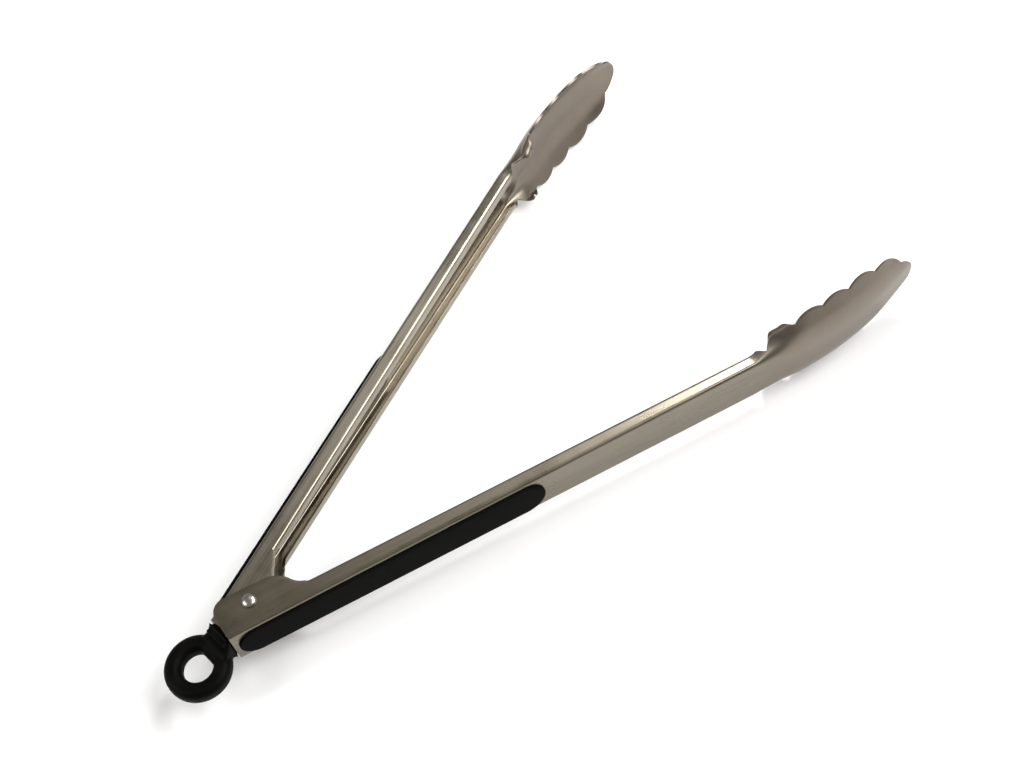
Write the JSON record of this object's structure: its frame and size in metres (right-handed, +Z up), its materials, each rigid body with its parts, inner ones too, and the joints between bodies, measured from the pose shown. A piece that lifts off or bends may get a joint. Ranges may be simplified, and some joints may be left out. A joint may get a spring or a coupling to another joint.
{
  "type": "spring loaded kitchen tongs",
  "caption": "Long kitchen tongs: riveted channel arms with scalloped scoop heads, soft grips, a torsion spring and a pull-ring lock.",
  "frame": {"origin": "on the ground under the middle of the open tongs; the hinge is 116.2 mm behind it and 20.66 mm up", "axes": "+X from the pull ring towards the heads, along the centre line between the arms; +Z up, parallel to the rivet; +Y towards the inner arm"},
  "size_m": [0.3141, 0.1646, 0.0413],
  "materials": {
    "arm_steel": "fine brushed along the arm, satin on the head",
    "grip_rubber": "matte soft-touch",
    "carrier_steel": "plain rolled",
    "rivet_steel": "polished dome",
    "spool_plastic": "plain moulded",
    "spring_wire": "drawn wire",
    "plate_steel": "stamped sheet",
    "ring_plastic": "matte with a fine grain"
  },
  "bodies": {
    "hinge_core": {"pivot_rivet": "rivet_steel", "spring_spool": "spool_plastic", "torsion_spring": "spring_wire"},
    "outer_side": {"outer_arm": "arm_steel", "outer_grip": "grip_rubber", "outer_grip_carrier": "carrier_steel"},
    "inner_side": {"inner_arm": "arm_steel", "inner_grip": "grip_rubber", "inner_grip_carrier": "carrier_steel"},
    "lock_slide": {"lock_plate": "plate_steel", "pull_ring": "ring_plastic"}
  },
  "joints": [
    {"name": "outer_arm_hinge", "type": "hinge", "parent": "hinge_core", "child": "outer_side", "pos_m": [-0.1162, 0, 0.02066], "axis": [0, 0, 1], "range_deg": [0, 16.2], "stiffness_Nm_per_rad": 0.6, "springref_deg": -6.88, "deforming": ["torsion_spring"]},
    {"name": "inner_arm_hinge", "type": "hinge", "parent": "hinge_core", "child": "inner_side", "pos_m": [-0.1162, 0, 0.02066], "axis": [0, 0, 1], "range_deg": [-16.2, 0], "stiffness_Nm_per_rad": 0.6, "springref_deg": 6.88},
    {"name": "lock_slide_travel", "type": "slide", "parent": "hinge_core", "child": "lock_slide", "axis": [-1, 0, 0], "range_m": [0, 0.0095]}
  ],
  "couplings": [
    {"joint": "inner_arm_hinge", "follows": "outer_arm_hinge", "ratio": -1},
    {"joint": "lock_slide_travel", "follows": "outer_arm_hinge", "m_per_rad": 0.0336}
  ]
}
